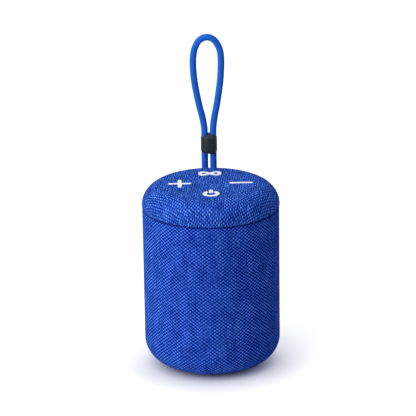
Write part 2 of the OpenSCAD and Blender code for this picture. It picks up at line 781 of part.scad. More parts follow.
// Cup round the ports, flush with the cloth, open to the back
module port_bezel() color("dimgray") difference() {
    intersection() {
        translate([0, 0, port_z]) face_back(bezel_floor - bezel_t, body_r) oblong(bezel_w, bezel_h);
        translate([0, 0, port_z - bezel_h]) cylinder(r = body_r, h = 2 * bezel_h);
    }
    translate([0, 0, port_z]) face_back(bezel_floor, body_r + over)
        oblong(port_w + 2 * loose, port_h + 2 * loose);
    translate([-port_apart, 0, port_z]) face_back(0, body_r) oblong(usb_w + 2 * fit, usb_h + 2 * fit);
    translate([port_apart, 0, port_z]) face_back(0, body_r) circle(d = jack_case_d + 2 * fit);
}

// Rubber cover, flush with the cloth, with a pad over each socket; it swings at one short end
module port_cover() color("black") {
    pad_y = bezel_floor + loose;
    intersection() {
        translate([0, 0, port_z]) face_back(0, body_r + over) oblong(port_w, port_h);
        tube(body_r, body_r - cover_t, port_z - port_h, port_z + port_h);
    }
    intersection() {
        union() {
            translate([-port_apart, 0, port_z]) face_back(pad_y, body_r) oblong(usb_w, usb_h);
            translate([port_apart, 0, port_z]) face_back(pad_y, body_r) circle(d = jack_case_d);
        }
        translate([0, 0, port_z - port_h]) cylinder(r = body_r - cover_t / 2, h = 2 * port_h);
    }
}

// ---------------------------------------------------------------- base

module base_cap() color("dimgray") difference() {
    root = 2;
    union() {
        wall(skin_in, skin_in + shell_t, base_lo, joint_z);
        tube(spigot_r, spigot_r - spigot_t, joint_z - root, joint_z + spigot_h);
        tube(room_r + shell_t / 2, spigot_r - spigot_t, joint_z - root, joint_z);
        at_corners(base_screw_r) translate([0, 0, base_lo]) cylinder(d = base_boss_d + 0.8, h = cap_boss_h);
    }
    tube(foot_out_r + fit, foot_in_r - fit, base_lo - over, foot_t + fit);
    at_corners(base_screw_r) {
        translate([0, 0, base_lo - over]) cylinder(d = head_d + 2 * fit, h = head_seat - base_lo + over);
        translate([0, 0, base_lo - over]) cylinder(d = screw_d, h = cap_boss_h + 2 * over, $fn = 24);
    }
}

module foot_ring() color("black") rotate_extrude() {
    edge = 0.6;
    translate([foot_in_r + edge, 0]) square([foot_w - 2 * edge, foot_t]);
    translate([foot_in_r, edge]) square([foot_w, foot_t - edge]);
    for (r = [foot_in_r + edge, foot_out_r - edge]) translate([r, edge]) circle(edge, $fn = 24);
}

module base_screws() color("silver") at_corners(base_screw_r) translate([0, 0, head_seat])
    screw(base_boss_lo - head_seat + 2 * screw_bite);

// ---------------------------------------------------------------- lanyard

// Points of the route in space, and the direction of the cord at each of them
ROUTE_AT = [for (p = ROUTE) [p[0], cord_back, body_h + p[1]]];
function unit(v) = v / norm(v);
function along(pts, i) = unit(pts[min(i + 1, len(pts) - 1)] - pts[max(i - 1, 0)]);
function ring(pts, i) = let (t = along(pts, i), side = unit(cross([0, 1, 0], t)))
    [for (k = [0 : CORD_SIDES - 1]) let (a = 360 * k / CORD_SIDES)
        pts[i] + cord_d / 2 * (cos(a) * side + sin(a) * [0, 1, 0])];

module swept_tube(pts) {
    n = CORD_SIDES;
    last = len(pts) - 1;
    polyhedron(
        points = [for (i = [0 : last]) each ring(pts, i)],
        faces = concat(
            [[for (k = [0 : n - 1]) k]],
            [for (i = [0 : last - 1], k = [0 : n - 1])
                [i * n + k, (i + 1) * n + k, (i + 1) * n + (k + 1) % n, i * n + (k + 1) % n]],
            [[for (k = [n - 1 : -1 : 0]) last * n + k]]));
}

module lanyard_cord() color("mediumblue") swept_tube(ROUTE_AT);

// Bead with well rounded corners that slides on both strands
module lanyard_bead() color("darkslategray") difference() {
    corner = 2;
    translate([0, cord_back, bead_lo]) hull()
        for (x = [-1, 1], y = [-1, 1], z = [corner, bead_h - corner])
            translate([x * (bead_w / 2 - corner), y * (bead_d / 2 - corner), z]) sphere(r = corner, $fn = 24);
    at_strands() translate([0, 0, bead_lo - over]) cylinder(d = cord_bore, h = bead_h + 2 * over, $fn = 32);
}

// Metal clip on the two ends of the cord, under the block that they come through
module lanyard_crimp() color("silver") difference() {
    translate([0, cord_back, crimp_lo]) linear_extrude(crimp_h) crimp_outline(0);
    at_strands() translate([0, 0, crimp_lo - over])
        cylinder(d = crimp_bore, h = crimp_h + 2 * over, $fn = 32);
}

side_cloth();
crown_cloth();
crown_frame();
key_board();
tact_switches();
deflector();
crown_screws();
key_cap("plus");  // key_cap_plus
key_cap("minus");  // key_cap_minus
key_cap("link");  // key_cap_link
key_cap("power");  // key_cap_power
key_cloth("plus");  // key_cloth_plus
key_cloth("minus");  // key_cloth_minus
key_cloth("link");  // key_cloth_link
key_cloth("power");  // key_cloth_power
sign("plus");  // sign_plus
sign("minus");  // sign_minus
sign("link");  // sign_link
sign("power");  // sign_power
switch_button("plus");  // switch_button_plus
switch_button("minus");  // switch_button_minus
switch_button("link");  // switch_button_link
switch_button("power");  // switch_button_power
housing();
driver_gasket();
driver_basket();
driver_magnet();
driver_yoke();
driver_cone();
voice_coil();
dust_cap();
driver_surround();
driver_screws();
radiator_gasket();
radiator_frame();
radiator_surround();
radiator_plate();
radiator_weight();
radiator_screws();
battery_cell();
battery_tray();
main_board();
board_screws();
usb_socket();
aux_jack();
port_bezel();
port_cover();
base_cap();
foot_ring();
base_screws();
lanyard_cord();
lanyard_bead();
lanyard_crimp();
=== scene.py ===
"""Looks of a cloth-covered portable speaker: woven sleeve and crown, keys, lanyard and a small studio."""

import json
import math

import bmesh
import bpy
from bpy.props import FloatProperty, FloatVectorProperty, IntProperty, PointerProperty
from mathutils import Euler, Matrix, Vector
from mathutils.geometry import delaunay_2d_cdt


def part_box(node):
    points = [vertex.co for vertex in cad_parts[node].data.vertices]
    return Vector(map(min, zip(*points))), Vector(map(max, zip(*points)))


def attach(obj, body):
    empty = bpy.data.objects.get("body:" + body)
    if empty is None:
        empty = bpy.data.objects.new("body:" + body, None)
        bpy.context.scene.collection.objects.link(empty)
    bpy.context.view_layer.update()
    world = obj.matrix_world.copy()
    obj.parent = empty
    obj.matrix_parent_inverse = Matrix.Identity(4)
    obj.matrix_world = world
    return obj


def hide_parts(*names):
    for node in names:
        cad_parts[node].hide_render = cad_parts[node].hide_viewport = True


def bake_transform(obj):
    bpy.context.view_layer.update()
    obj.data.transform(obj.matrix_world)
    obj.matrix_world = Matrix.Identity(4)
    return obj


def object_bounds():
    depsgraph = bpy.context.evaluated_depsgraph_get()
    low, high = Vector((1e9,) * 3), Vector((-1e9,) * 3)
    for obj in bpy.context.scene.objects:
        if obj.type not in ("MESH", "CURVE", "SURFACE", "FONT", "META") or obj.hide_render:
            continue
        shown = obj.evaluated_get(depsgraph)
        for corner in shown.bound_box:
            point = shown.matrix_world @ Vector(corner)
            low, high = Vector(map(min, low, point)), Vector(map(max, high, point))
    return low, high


bl_info = {
    "name": "Portable speaker",
    "version": (1, 0, 0),
    "blender": (4, 5, 0),
    "location": "3D View > Sidebar > Speaker",
    "description": "Cloth, keys, lanyard and studio for the packed speaker model",
    "category": "Object",
}

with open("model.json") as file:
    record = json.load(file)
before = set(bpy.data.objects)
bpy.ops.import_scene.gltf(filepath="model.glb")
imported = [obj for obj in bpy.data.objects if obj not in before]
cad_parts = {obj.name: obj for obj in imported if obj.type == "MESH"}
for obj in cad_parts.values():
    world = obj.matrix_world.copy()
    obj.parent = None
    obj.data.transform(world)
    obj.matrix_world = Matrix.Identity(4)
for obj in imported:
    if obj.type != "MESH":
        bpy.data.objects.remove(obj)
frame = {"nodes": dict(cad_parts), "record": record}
CAD_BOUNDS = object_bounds()

MM = 0.001
KEYS = ("plus", "minus", "link", "power")
SIDE_LO, SIDE_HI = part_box("side_cloth")
CROWN_LO, CROWN_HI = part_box("crown_cloth")
FOOT_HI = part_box("foot_ring")[1]
BEAD_LO, BEAD_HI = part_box("lanyard_bead")
KEY_BOX = {key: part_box(f"key_cloth_{key}") for key in KEYS}
KEY_AT = {key: Vector(((lo.x + hi.x) / 2, (lo.y + hi.y) / 2)) for key, (lo, hi) in KEY_BOX.items()}
KEY_TOP = KEY_BOX["plus"][1].z
CORD_BACK = sum(corner.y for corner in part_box("lanyard_cord")) / 2
BODY_R = SIDE_HI.x
SEAM_Z = (SIDE_HI.z + CROWN_LO.z) / 2

FOOT_CLEAR = 0.3 * MM       # between the foot ring and the sleeve's lower hem
SEAM_CLEAR = 0.12 * MM      # between the two hems at the seam
HEM_ROLL = 2.4 * MM         # height of the crown cloth's rolled hem
PATCH_CLEAR = 0.35 * MM     # between a key patch's rim and the nearest inner point of the crown cloth
PORT_CLEAR = 0.15 * MM      # between the port bezel and the cloth
CROWN_BORE_CLEAR = 0.15 * MM
BEAD_BORE_CLEAR = 0.2 * MM
BORE_OVER = 5 * MM          # how far a bore's cutter stands out of the bead
PATCH_STEPS = 96

# The lanyard's route, seen from the front: steps right of the middle and above the crown
ROUTE = [
    (-2.7, -12.5), (-2.7, -6), (-2.7, 2), (-2.7, 10), (-2.7, 18), (-2.7, 22), (-2.9, 26), (-3.9, 32),
    (-5.6, 39), (-7.2, 47), (-8.5, 55), (-9.2, 63), (-9.2, 70), (-8.3, 76), (-5.9, 81), (-3.1, 83.2),
    (-0.5, 83.8), (2.1, 83.2), (4.9, 81), (7.4, 76), (8.2, 70), (8.1, 63), (7.5, 55), (6.4, 47),
    (5.1, 39), (3.7, 32), (2.9, 26), (2.7, 22), (2.7, 18), (2.7, 10), (2.7, 2), (2.7, -6), (2.7, -12.5),
]
STRANDS = (ROUTE[2][0] * MM, ROUTE[-3][0] * MM)     # where the two strands rise out of the crown


# ---------------------------------------------------------------- sizes and colours


def length(name, description, millimetres):
    return FloatProperty(name=name, description=description, default=millimetres * MM, unit="LENGTH", precision=5)


def amount(name, description, value):
    return FloatProperty(name=name, description=description, default=value)


def angle(name, description, degrees):
    return FloatProperty(name=name, description=description, default=math.radians(degrees), unit="ROTATION")


def colour(name, description, value):
    return FloatVectorProperty(name=name, description=description, default=value, size=3, subtype="COLOR")


class SPEAKER_PG_cloth(bpy.types.PropertyGroup):
    crown_round: length("Crown round", "Radius of the rounded crown edge", 13)
    base_round: length("Base round", "Radius of the rounded base edge", 14.5)
    thickness: length("Thickness", "Depth of the cloth with its backing", 0.9)
    hem: length("Hem", "Depth that the two cloths turn in by at the seam", 0.45)
    lip: length("Lip", "Height over which the two cloths turn in at the seam", 0.9)
    roll: length("Roll", "How far the crown cloth's rolled hem stands proud", 0.25)
    wander: length("Wander", "How far the seam wanders up and down", 0.14)
    side_pitch: length("Side pitch round", "Pitch of the side cloth's upright threads", 1.35)
    side_rise: length("Side pitch up", "Pitch of the side cloth's cross threads", 1.075)
    crown_pitch: length("Crown pitch across", "Pitch of the crown cloth's threads from left to right", 1.15)
    crown_rise: length("Crown pitch back", "Pitch of the crown cloth's threads from front to back", 1.36)
    light: colour("Light thread", "Colour of the side cloth's upright threads", (0.069, 0.206, 0.82))
    crown_light: colour("Crown light thread", "Colour of the crown cloth's upright threads", (0.063, 0.195, 0.74))
    dark: colour("Dark thread", "Colour of the cross threads", (0.0002, 0.0080, 0.215))
    steps: IntProperty(name="Steps round", description="Faces round the sleeve", default=216, min=24)


class SPEAKER_PG_keys(bpy.types.PropertyGroup):
    patch: length("Patch", "Radius of the cloth that moves with a key", 12.5)
    plateau: length("Plateau", "Radius of a key's level top", 7.9)
    print_colour: colour("Print", "Colour of the printed signs", (0.97, 0.98, 0.99))


class SPEAKER_PG_lanyard(bpy.types.PropertyGroup):
    cord: length("Cord", "Diameter of the cord", 4.2)
    cord_colour: colour("Cord colour", "Colour of the braided cord", (0.014, 0.133, 0.60))
    bead_colour: colour("Bead colour", "Colour of the bead", (0.0125, 0.0145, 0.0175))
    sides: IntProperty(name="Sides", description="Faces round the cord", default=24, min=8)


class SPEAKER_PG_studio(bpy.types.PropertyGroup):
    distance: length("Camera distance", "Distance of the camera from the middle of the body", 1488)
    azimuth: angle("Azimuth", "How far the camera stands round to the right", -0.9)
    elevation: angle("Elevation", "How far the camera looks down", 20.7)
    roll: angle("Roll", "Lean of the camera", -0.8)
    tilt: angle("Tilt", "How far above the middle of the body the camera aims", 1.523)
    turn: angle("Turn", "How far left of the middle of the body the camera aims", 0.0875)
    lens: FloatProperty(name="Lens", description="Focal length", default=205.6, unit="CAMERA")
    key_power: FloatProperty(name="Key power", description="Power of the key lamp", default=23, unit="POWER")
    fill_power: FloatProperty(name="Fill power", description="Power of the top lamp", default=8.8, unit="POWER")
    room: amount("Room light", "Strength of the light from all round", 0.17)
    room_colour: colour("Room colour", "Colour of the light from all round", (0.42, 0.44, 1.0))
    floor_colour: colour("Floor", "Colour of the floor", (0.8, 0.8, 0.8))
    floor_seen: amount("Floor brightness", "How much brighter the floor looks to the camera", 1.65)
    backdrop: amount("Backdrop", "Brightness of the paper's own white", 1.18)
    backdrop_share: amount("Backdrop share", "Share of that white in what the camera sees of the floor", 0.72)
    shade_reach: length("Shade reach", "How far the shade round the foot reaches", 30)
    shade_behind: amount("Shade behind", "Depth of the shade behind the foot, next to 1 in front of it", 0.4)


# ---------------------------------------------------------------- node trees


class Wire:
    """A socket that does sums: an expression on wires adds its Math nodes to the tree."""

    def __init__(self, build, socket):
        self.build = build
        self.socket = socket

    def math(self, operation, *others):
        return self.build.node("ShaderNodeMath", {"operation": operation}, [self, *others])

    def __add__(self, other):
        return self.math("ADD", other)

    def __sub__(self, other):
        return self.math("SUBTRACT", other)

    def __mul__(self, other):
        return self.math("MULTIPLY", other)

    def __truediv__(self, other):
        return self.math("DIVIDE", other)

    def __mod__(self, other):
        return self.math("FLOORED_MODULO", other)

    def __pow__(self, other):
        return self.math("POWER", other)

    def __rsub__(self, other):
        return self.build.node("ShaderNodeMath", {"operation": "SUBTRACT"}, [other, self])

    def __rtruediv__(self, other):
        return self.build.node("ShaderNodeMath", {"operation": "DIVIDE"}, [other, self])

    __radd__ = __add__
    __rmul__ = __mul__


def pick(sockets, key):
    """The socket with that place, identifier or name."""
    if isinstance(key, int):
        return sockets[key]
    for socket in sockets:
        if socket.identifier == key:
            return socket
    return sockets[key]


class Build:
    """Adds nodes to one tree and links them."""

    def __init__(self, tree):
        self.tree = tree

    def node(self, kind, settings=None, inputs=(), out=0):
        """A node of that kind, with its settings and then a value or a wire for each socket; gives one output."""
        node = self.tree.nodes.new(kind)
        for name, value in (settings or {}).items():
            if name == "stops":
                ramp = node.color_ramp.elements
                while len(ramp) < len(value):
                    ramp.new(1)
                for stop, (place, level) in zip(ramp, value):
                    stop.position = place
                    stop.color = (level, level, level, 1)
            else:
                setattr(node, name, value)
        pairs = inputs.items() if isinstance(inputs, dict) else enumerate(inputs)
        for key, value in pairs:
            socket = pick(node.inputs, key)
            if isinstance(value, Wire):
                self.tree.links.new(value.socket, socket)
            else:
                socket.default_value = value
        return Wire(self, pick(node.outputs, out)) if node.outputs else node

    def mix(self, factor, a, b, kind="MIX"):
        settings = {"data_type": "RGBA", "blend_type": kind}
        sides = {"Factor_Float": factor, "A_Color": a, "B_Color": b}
        return self.node("ShaderNodeMix", settings, sides, "Result_Color")

    def noise(self, place, scale, detail=2.0, out=0):
        return self.node("ShaderNodeTexNoise", {}, {"Vector": place, "Scale": scale, "Detail": detail}, out)

    def ramp(self, value, *stops):
        return self.node("ShaderNodeValToRGB", {"stops": stops}, [value])

    def parts(self, vector):
        """The three numbers of a vector."""
        node = self.tree.nodes.new("ShaderNodeSeparateXYZ")
        self.tree.links.new(vector.socket, node.inputs[0])
        return [Wire(self, socket) for socket in node.outputs]

    def stretched(self, place, *scale):
        return self.node("ShaderNodeVectorMath", {"operation": "MULTIPLY"}, [place, scale])

    def bump(self, height, distance, strength=1.0):
        return self.node("ShaderNodeBump", {}, {"Height": height, "Distance": distance, "Strength": strength})


def rgba(value, gain=1.0):
    return (value[0] * gain, value[1] * gain, value[2] * gain, 1.0)


def finish_material(name, surface):
    """A material whose surface is made by a function that takes the tree's builder."""
    material = bpy.data.materials.new(name)
    material.use_nodes = True
    tree = material.node_tree
    tree.nodes.clear()
    build = Build(tree)
    shader = surface(build)
    output = tree.nodes.new("ShaderNodeOutputMaterial")
    tree.links.new(shader.socket, output.inputs["Surface"])
    return material


def principled(build, **sockets):
    names = {
        "color": "Base Color", "roughness": "Roughness", "metallic": "Metallic", "normal": "Normal",
        "sheen": "Sheen Weight", "sheen_roughness": "Sheen Roughness", "sheen_tint": "Sheen Tint",
        "specular": "Specular IOR Level", "coat": "Coat Weight", "coat_roughness": "Coat Roughness",
    }
    return build.node("ShaderNodeBsdfPrincipled", {}, {names[key]: value for key, value in sockets.items()})


# ---------------------------------------------------------------- finishes

# How fine each unevenness of the cloth is, as the scale of its noise
DRIFT, FIBRE, LOT, STREAK, WEAR, FLECK_DRIFT = 160.0, 5200.0, 620.0, 640.0, 140.0, 190.0

def weave(build, place, pitch_u, pitch_v, cover=0.0):
    """Plain weave: how far an upright thread lies on top, from 0 to 1, and the height of the threads."""
    drift = build.noise(place, DRIFT, 1.0) - 0.5
    u, v, _ = build.parts(place)
    p = (u / pitch_u + drift * 0.6) * math.pi
    q = (v / pitch_v + drift * 0.6) * math.pi
    over = p.math("COSINE") * q.math("COSINE")
    height = over.math("ABSOLUTE") ** 0.55
    upper = build.node("ShaderNodeMapRange", {"interpolation_type": "SMOOTHSTEP"},
                       {"Value": over, "From Min": -0.45 - cover, "From Max": 0.45 - cover})
    return upper, height


FLECK_W, FLECK_L = 1.45 * MM, 12.5 * MM     # width and length of the flecks
SEAM_SHADOW_FADE = (0.3 * MM, 1.0 * MM)            # distances from the seam over which its painted shadow fades
CLOTH_TINT = (1.7, 1.3, 0.75)               # how fast a darker thread loses red, green and blue
SHEEN_TINT = (0.25, 0.65, 1.0, 1.0)


def woven_cloth(name, map_name, pitch_u, pitch_v, light, dark, contrast, cover, slub, fleck=0.0):
    """Two-tone woven cloth on a map in metres. slub is how long the streaks are drawn and how deep they go."""

    def surface(build):
        place = build.node("ShaderNodeUVMap", {"uv_map": map_name})
        upper, height = weave(build, place, pitch_u, pitch_v, cover)
        thread = build.mix((upper - 0.5) * contrast + 0.5, rgba(dark), rgba(light))
        fibre = build.noise(build.stretched(place, 1.0, 0.35, 1.0), FIBRE, 3.0)
        lot = build.noise(place, LOT, 2.0)
        streak = build.noise(build.stretched(place, 1.0, slub[0], 1.0), STREAK, 2.0)
        wear = build.noise(build.stretched(place, 1.0, 0.6, 1.0), WEAR, 4.0)
        u, v, _ = build.parts(place)
        _, _, z = build.parts(build.node("ShaderNodeTexCoord", {}, out="Object"))
        # painted shadow: the cloth is darkened in a wavering band along the seam between the two hems
        off_seam = (z - SEAM_Z).math("ABSOLUTE") + (lot - 0.5) * (1.3 * MM)
        painted_seam_shadow = build.node("ShaderNodeMapRange", {"interpolation_type": "SMOOTHSTEP"},
                          {"Value": off_seam, "From Min": SEAM_SHADOW_FADE[0], "From Max": SEAM_SHADOW_FADE[1], "To Min": 0.45})
        drift = build.noise(place, FLECK_DRIFT, 1.0)
        flecks = ((u / FLECK_W + drift) * (2 * math.pi)).math("COSINE") \
            * ((v / FLECK_L + drift * 1.5) * (2 * math.pi)).math("COSINE")
        # painted shade: the colour darkens where the threads dip, by their height, and along the seam; fibre, lot,
        # streak, flecks and wear are the yarn's own uneven tone
        shade = (0.46 + height * 0.62) * (0.55 + fibre * 0.9) * (0.35 + lot * 1.3) * (1.0 + (streak - 0.5) * slub[1]) \
            * (1.0 + flecks * fleck) * (1.0 + (wear - 0.5) * 1.3) * painted_seam_shadow
        tone = build.node("ShaderNodeCombineColor", {}, [shade ** power for power in CLOTH_TINT])
        base = build.mix(1.0, thread, tone, "MULTIPLY")
        rough = 0.78 + fibre * 0.2
        relief = build.bump(height + fibre * 0.35, 0.30 * MM, 0.9)
        return principled(build, color=base, roughness=rough, normal=relief, sheen=0.13, sheen_roughness=0.35,
                          sheen_tint=SHEEN_TINT, specular=0.0)

    return finish_material(name, surface)


def print_film(name, white, pitch_u, pitch_v):
    """White film pressed on the cloth, with the threads showing through."""

    def surface(build):
        place = build.node("ShaderNodeTexCoord", {}, out="Object")
        _, height = weave(build, place, pitch_u, pitch_v)
        speck = build.noise(place, 2600.0, 3.0)
        # painted shade: the film darkens a little where the threads under it dip; speck is its own uneven tone
        shade = (0.92 + height * 0.08) * (0.96 + speck * 0.08)
        tone = build.node("ShaderNodeCombineColor", {}, [shade, shade, shade])
        base = build.mix(1.0, rgba(white), tone, "MULTIPLY")
        relief = build.bump(height + speck * 0.3, 0.12 * MM, 0.5)
        return principled(build, color=base, roughness=0.5 + speck * 0.15, normal=relief, specular=0.3)

    return finish_material(name, surface)


def braid(name, tint, map_name, around):
    """Satin braid of a cord: two sets of yarns that cross on the slant."""

    def surface(build):
        place = build.node("ShaderNodeUVMap", {"uv_map": map_name})
        u, v, _ = build.parts(place)
        yarns, lay_length = 8, 1.25 * MM
        p = u * (yarns * math.pi / around)
        q = v * (math.pi / lay_length)
        one = (p + q).math("SINE")
        two = (p - q).math("SINE")
        over = one * two
        height = over.math("ABSOLUTE") ** 0.5
        fibre = build.noise(build.stretched(place, 1.0, 0.5, 1.0), 4200.0, 3.0)
        # painted shade: the colour darkens where the yarns dip, by their height; fibre is the yarn's own uneven tone
        shade = (0.74 + height * 0.30) * (0.76 + fibre * 0.48)
        tone = build.node("ShaderNodeCombineColor", {}, [shade, shade, shade])
        base = build.mix(1.0, rgba(tint), tone, "MULTIPLY")
        relief = build.bump(height + fibre * 0.3, 0.12 * MM, 0.5)
        return principled(build, color=base, roughness=0.5 + fibre * 0.15, normal=relief, sheen=0.03,
                          sheen_roughness=0.35, sheen_tint=SHEEN_TINT, specular=0.04)

    return finish_material(name, surface)


def moulded(name, tint, roughness, grain=900.0, depth=0.03, coat=0.0, specular=0.5):
    """Moulded plastic or rubber: fine grain, a little uneven sheen and paler rubbed patches."""

    def surface(build):
        place = build.node("ShaderNodeTexCoord", {}, out="Object")
        fine = build.noise(place, grain * 3.0, 3.0)
        broad = build.noise(place, 45.0, 3.0)
        rubbed = build.ramp(broad, (0.55, 0.0), (0.8, 1.0))
        base = build.mix(rubbed, rgba(tint, 0.92), rgba(tint, 1.25))
        rough = roughness - 0.08 + fine * 0.1 + broad * 0.08
        relief = build.bump(fine, depth * MM, 0.6)
        return principled(build, color=base, roughness=rough, normal=relief, coat=coat, coat_roughness=0.3,
                          specular=specular)

    return finish_material(name, surface)


def foam(name, tint):
    """Open foam with small cells."""

    def surface(build):
        place = build.node("ShaderNodeTexCoord", {}, out="Object")
        cells = build.node("ShaderNodeTexVoronoi", {}, {"Vector": place, "Scale": 1800.0}, "Distance")
        base = build.mix(cells, rgba(tint, 0.5), rgba(tint, 1.4))
        return principled(build, color=base, roughness=0.95, normal=build.bump(cells, 0.15 * MM))

    return finish_material(name, surface)


def circuit_board(name, tint):
    """Solder mask over straight copper tracks."""

    def surface(build):
        place = build.node("ShaderNodeTexCoord", {}, out="Object")
        tracks = build.node("ShaderNodeTexBrick", {"offset": 0.35}, {
            "Vector": place, "Scale": 150.0, "Mortar Size": 0.06,
            "Brick Width": 0.9, "Row Height": 0.35}, "Fac")
        speck = build.noise(place, 900.0, 2.0)
        base = build.mix(tracks, rgba(tint), rgba(tint, 2.1))
        relief = build.bump(tracks + speck * 0.2, 0.04 * MM)
        return principled(build, color=base, roughness=0.32 + speck * 0.12, normal=relief, specular=0.5)

    return finish_material(name, surface)


def drawn_metal(name, tint, roughness, grain, metallic=1.0):
    """Plated or ground metal with faint lines along X and Y."""

    def surface(build):
        place = build.node("ShaderNodeTexCoord", {}, out="Object")
        lines = build.noise(build.stretched(place, 1.0, 1.0, 14.0), grain, 4.0)
        cloud = build.noise(place, 60.0, 2.0)
        base = build.mix(lines, rgba(tint, 0.8), rgba(tint, 1.1))
        rough = roughness - 0.1 + lines * 0.14 + cloud * 0.08
        return principled(build, color=base, roughness=rough, metallic=metallic,
                          normal=build.bump(lines, 0.015 * MM, 0.5))

    return finish_material(name, surface)


def wound_wire(name, tint):
    """Turns of enamelled wire, one above the other."""

    def surface(build):
        place = build.node("ShaderNodeTexCoord", {}, out="Object")
        _, _, z = build.parts(place)
        wire = 0.25 * MM
        # painted shade and highlight: the colour darkens in the grooves between the turns and lightens on their crowns
        turns = (z * (2 * math.pi / wire)).math("SINE") * 0.5 + 0.5
        base = build.mix(turns, rgba(tint, 0.45), rgba(tint, 1.1))
        return principled(build, color=base, roughness=0.35 + turns * 0.1, metallic=0.9,
                          normal=build.bump(turns, 0.06 * MM))

    return finish_material(name, surface)


def pulp(name, tint):
    """Pressed paper pulp."""

    def surface(build):
        place = build.node("ShaderNodeTexCoord", {}, out="Object")
        fibre = build.noise(place, 1500.0, 6.0)
        base = build.mix(fibre, rgba(tint, 0.6), rgba(tint, 1.5))
        return principled(build, color=base, roughness=0.85, normal=build.bump(fibre, 0.06 * MM))

    return finish_material(name, surface)


# ---------------------------------------------------------------- meshes


def link_to_scene(obj):
    bpy.context.scene.collection.objects.link(obj)
    return obj


def mesh_object(name, points, faces, material, smooth=True):
    mesh = bpy.data.meshes.new(name)
    mesh.from_pydata([tuple(p) for p in points], [], faces)
    mesh.polygons.foreach_set("use_smooth", [smooth] * len(mesh.polygons))
    mesh.materials.append(material)
    mesh.update()
    return link_to_scene(bpy.data.objects.new(name, mesh))


def map_faces(obj, name, spot):
    """Gives a mesh a UV map in metres: spot takes a vertex's index."""
    layer = obj.data.uv_layers.new(name=name)
    for loop in obj.data.loops:
        layer.data[loop.index].uv = spot(loop.vertex_index)


def evaluated(obj, name):
    """The object with its modifiers worked into a plain mesh."""
    depsgraph = bpy.context.evaluated_depsgraph_get()
    mesh = bpy.data.meshes.new_from_object(obj.evaluated_get(depsgraph), preserve_all_data_layers=True,
                                           depsgraph=depsgraph)
    mesh.name = name
    obj.modifiers.clear()
    old = obj.data
    obj.data = mesh
    bpy.data.meshes.remove(old)
    return obj


def oblong(width, height, steps=24):
    """Outline of a flat shape with round ends."""
    r = height / 2
    turn = [math.pi * i / steps for i in range(steps + 1)]
    right = [(width / 2 - r + r * math.sin(a), -r * math.cos(a)) for a in turn]
    return right + [(-x, -y) for x, y in right]


def prism(outline, lo, hi):
    """Points and faces of an upright prism over an outline that runs anticlockwise."""
    n = len(outline)
    points = [(x, y, lo) for x, y in outline] + [(x, y, hi) for x, y in outline]
    faces = [tuple(reversed(range(n))), tuple(range(n, 2 * n))]
    faces += [(i, (i + 1) % n, n + (i + 1) % n, n + i) for i in range(n)]
    return points, faces


def cut_away(obj, *cutters):
    """Takes the cutters' space out of the object."""
    for cutter in cutters:
        modifier = obj.modifiers.new("cut", "BOOLEAN")
        modifier.operation = "DIFFERENCE"
        modifier.solver = "EXACT"
        modifier.object = cutter
    splitter = obj.modifiers.new("triangles", "TRIANGULATE")
    splitter.min_vertices = 5
    splitter.ngon_method = "BEAUTY"
    splitter.keep_custom_normals = True
    evaluated(obj, obj.name)
    for cutter in cutters:
        bpy.data.objects.remove(cutter)


# ---------------------------------------------------------------- cloth


def arc(centre, radius, start, stop, steps):
    """Points on an arc in the r-z plane, with its angles in degrees from the r axis."""
    turns = [math.radians(start + (stop - start) * i / steps) for i in range(steps + 1)]
    return [(centre[0] + radius * math.cos(a), centre[1] + radius * math.sin(a)) for a in turns]


def sleeve_profile(cloth):
    """Closed outline of the side cloth, from its lower hem up the outside and down the inside."""
    r, t, b, hem, lip = BODY_R, cloth.thickness, cloth.base_round, cloth.hem, cloth.lip
    lower = SIDE_LO.z + b
    hem_r = FOOT_HI.x + FOOT_CLEAR
    start = -math.degrees(math.acos((hem_r - r + b) / b))
    wall_rows, lining_rows = 40, 6
    outside = arc((r - b, lower), b, start, 0, 14)
    top = CROWN_LO.z - SEAM_CLEAR - lip
    rise = [(r, lower + (top - lower) * i / wall_rows) for i in range(1, wall_rows)]
    turn = [(x, top + (z - top) * lip / hem) for x, z in arc((r - hem, top), hem, 0, 180, 12)]
    fall = [(r - t, top - (top - lower) * i / lining_rows) for i in range(1, lining_rows)]
    inside = arc((r - b, lower), b - t, 0, start, 8)
    return outside + rise + turn + fall + inside


